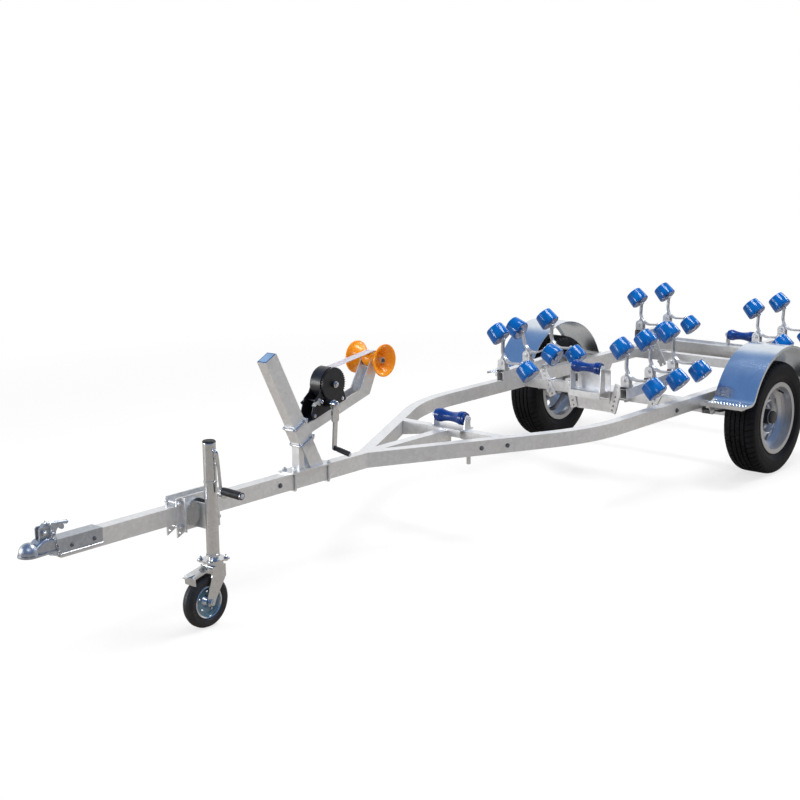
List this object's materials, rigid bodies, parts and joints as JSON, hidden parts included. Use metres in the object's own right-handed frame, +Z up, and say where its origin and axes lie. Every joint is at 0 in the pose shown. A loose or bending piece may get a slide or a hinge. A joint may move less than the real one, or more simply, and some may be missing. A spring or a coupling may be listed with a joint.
{
  "type": "boat trailer",
  "caption": "Single-axle road trailer for a small boat, with pivoting roller cradles, a winch post with a bow roller, a ball coupling and a swing-up jockey wheel.",
  "frame": {"origin": "on the floor under the middle of the overall length and width", "axes": "+X runs backwards from the coupling to the tail, +Y is the trailer's right-hand side when it is towed, and +Z is up"},
  "size_m": [5.15, 1.55, 0.941],
  "materials": {
    "galvanised_steel": "dull galvanised",
    "zinc_steel": "zinc plated",
    "spring_steel": "satin",
    "black_rubber": "matt",
    "grey_plastic": "matt",
    "black_paint": "satin",
    "webbing": "woven",
    "orange_plastic": "translucent gloss",
    "dark_blue_plastic": "satin",
    "blue_plastic": "gloss",
    "tyre": "matt",
    "silver_paint": "satin",
    "lamp_red": "gloss"
  },
  "bodies": {
    "frame": {"rail_left": "galvanised_steel", "rail_right": "galvanised_steel", "drawbar": "galvanised_steel", "front_crossmember": "galvanised_steel", "cross_beams": "galvanised_steel", "coupler": "zinc_steel", "coupler_latch": "zinc_steel", "jockey_bracket": "galvanised_steel", "winch_post": "galvanised_steel", "post_base": "galvanised_steel", "winch_arm": "galvanised_steel", "winch_frame": "black_paint", "winch_drum": "zinc_steel", "winch_crank": "zinc_steel", "winch_strap": "webbing", "keel_brackets": "galvanised_steel", "axle": "galvanised_steel", "leaf_springs": "spring_steel", "spring_hangers": "galvanised_steel", "mudguards": "galvanised_steel", "mudguard_brackets": "galvanised_steel", "cradle_beams": "galvanised_steel", "cradle_posts": "galvanised_steel", "lamp_board": "galvanised_steel", "tail_lamps": "lamp_red"},
    "wheel_left": {"tyre_left": "tyre", "rim_left": "silver_paint"},
    "wheel_right": {"tyre_right": "tyre", "rim_right": "silver_paint"},
    "bow_roller": {"bow_roller": "orange_plastic"},
    "keel_roller_front": {"keel_roller_front": "dark_blue_plastic"},
    "keel_roller_mid": {"keel_roller_mid": "dark_blue_plastic"},
    "keel_roller_tail": {"keel_roller_tail": "dark_blue_plastic"},
    "jockey_tube": {"jockey_tube": "zinc_steel", "jockey_crank": "zinc_steel"},
    "jockey_leg": {"jockey_leg": "zinc_steel"},
    "jockey_fork": {"jockey_fork": "zinc_steel"},
    "jockey_wheel": {"jockey_tyre": "black_rubber", "jockey_disc": "grey_plastic"},
    "arm_front_left_1": {"cradle_arm_front_left_1": "galvanised_steel", "cradle_rollers_front_left_1": "blue_plastic"},
    "arm_front_left_2": {"cradle_arm_front_left_2": "galvanised_steel", "cradle_rollers_front_left_2": "blue_plastic"},
    "arm_front_left_3": {"cradle_arm_front_left_3": "galvanised_steel", "cradle_rollers_front_left_3": "blue_plastic"},
    "arm_front_right_1": {"cradle_arm_front_right_1": "galvanised_steel", "cradle_rollers_front_right_1": "blue_plastic"},
    "arm_front_right_2": {"cradle_arm_front_right_2": "galvanised_steel", "cradle_rollers_front_right_2": "blue_plastic"},
    "arm_front_right_3": {"cradle_arm_front_right_3": "galvanised_steel", "cradle_rollers_front_right_3": "blue_plastic"},
    "arm_rear_left_1": {"cradle_arm_rear_left_1": "galvanised_steel", "cradle_rollers_rear_left_1": "blue_plastic"},
    "arm_rear_left_2": {"cradle_arm_rear_left_2": "galvanised_steel", "cradle_rollers_rear_left_2": "blue_plastic"},
    "arm_rear_right_1": {"cradle_arm_rear_right_1": "galvanised_steel", "cradle_rollers_rear_right_1": "blue_plastic"},
    "arm_rear_right_2": {"cradle_arm_rear_right_2": "galvanised_steel", "cradle_rollers_rear_right_2": "blue_plastic"}
  },
  "joints": [
    {"name": "wheel_left_spin", "type": "hinge", "parent": "frame", "child": "wheel_left", "pos_m": [1.46, -0.658, 0.2875], "axis": [0, 1, 0], "continuous": true},
    {"name": "wheel_right_spin", "type": "hinge", "parent": "frame", "child": "wheel_right", "pos_m": [1.46, 0.658, 0.2875], "axis": [0, 1, 0], "continuous": true},
    {"name": "bow_roller_spin", "type": "hinge", "parent": "frame", "child": "bow_roller", "pos_m": [-0.805, 0, 0.838], "axis": [0, 1, 0], "continuous": true},
    {"name": "keel_roller_front_spin", "type": "hinge", "parent": "frame", "child": "keel_roller_front", "pos_m": [-0.266, 0, 0.497], "axis": [0, 1, 0], "continuous": true},
    {"name": "keel_roller_mid_spin", "type": "hinge", "parent": "frame", "child": "keel_roller_mid", "pos_m": [0.83, 0, 0.56], "axis": [0, 1, 0], "continuous": true},
    {"name": "keel_roller_tail_spin", "type": "hinge", "parent": "frame", "child": "keel_roller_tail", "pos_m": [2.453, 0, 0.505], "axis": [0, 1, 0], "continuous": true},
    {"name": "jockey_swing", "type": "hinge", "parent": "frame", "child": "jockey_tube", "pos_m": [-1.827, -0.125, 0.415], "axis": [0, -1, 0], "range_deg": [0, 90]},
    {"name": "jockey_height", "type": "slide", "parent": "jockey_tube", "child": "jockey_leg", "axis": [0, 0, -1], "range_m": [0, 0.2]},
    {"name": "jockey_caster", "type": "hinge", "parent": "jockey_leg", "child": "jockey_fork", "pos_m": [-1.827, -0.125, 0.24], "axis": [0, 0, 1], "continuous": true},
    {"name": "jockey_wheel_spin", "type": "hinge", "parent": "jockey_fork", "child": "jockey_wheel", "pos_m": [-1.873, -0.125, 0.1], "axis": [0, 1, 0], "continuous": true},
    {"name": "arm_front_left_1_tilt", "type": "hinge", "parent": "frame", "child": "arm_front_left_1", "pos_m": [0.60889, -0.365, 0.57504], "axis": [0.9987, 0, 0.0506], "range_deg": [-90, 0]},
    {"name": "arm_front_left_2_tilt", "type": "hinge", "parent": "frame", "child": "arm_front_left_2", "pos_m": [0.82361, -0.365, 0.58591], "axis": [0.9987, 0, 0.0506], "range_deg": [-90, 0]},
    {"name": "arm_front_left_3_tilt", "type": "hinge", "parent": "frame", "child": "arm_front_left_3", "pos_m": [1.03834, -0.365, 0.59679], "axis": [0.9987, 0, 0.0506], "range_deg": [-90, 0]},
    {"name": "arm_front_right_1_tilt", "type": "hinge", "parent": "frame", "child": "arm_front_right_1", "pos_m": [0.60889, 0.365, 0.57504], "axis": [0.9987, 0, 0.0506], "range_deg": [-90, 0]},
    {"name": "arm_front_right_2_tilt", "type": "hinge", "parent": "frame", "child": "arm_front_right_2", "pos_m": [0.82361, 0.365, 0.58591], "axis": [0.9987, 0, 0.0506], "range_deg": [-73, 17]},
    {"name": "arm_front_right_3_tilt", "type": "hinge", "parent": "frame", "child": "arm_front_right_3", "pos_m": [1.03834, 0.365, 0.59679], "axis": [0.9987, 0, 0.0506], "range_deg": [-90, 0]},
    {"name": "arm_rear_left_1_tilt", "type": "hinge", "parent": "frame", "child": "arm_rear_left_1", "pos_m": [1.925, -0.365, 0.61], "axis": [1, 0, 0], "range_deg": [-90, 0]},
    {"name": "arm_rear_left_2_tilt", "type": "hinge", "parent": "frame", "child": "arm_rear_left_2", "pos_m": [2.225, -0.365, 0.61], "axis": [1, 0, 0], "range_deg": [-90, 0]},
    {"name": "arm_rear_right_1_tilt", "type": "hinge", "parent": "frame", "child": "arm_rear_right_1", "pos_m": [1.925, 0.365, 0.61], "axis": [1, 0, 0], "range_deg": [-90, 0]},
    {"name": "arm_rear_right_2_tilt", "type": "hinge", "parent": "frame", "child": "arm_rear_right_2", "pos_m": [2.225, 0.365, 0.61], "axis": [1, 0, 0], "range_deg": [-90, 0]}
  ]
}
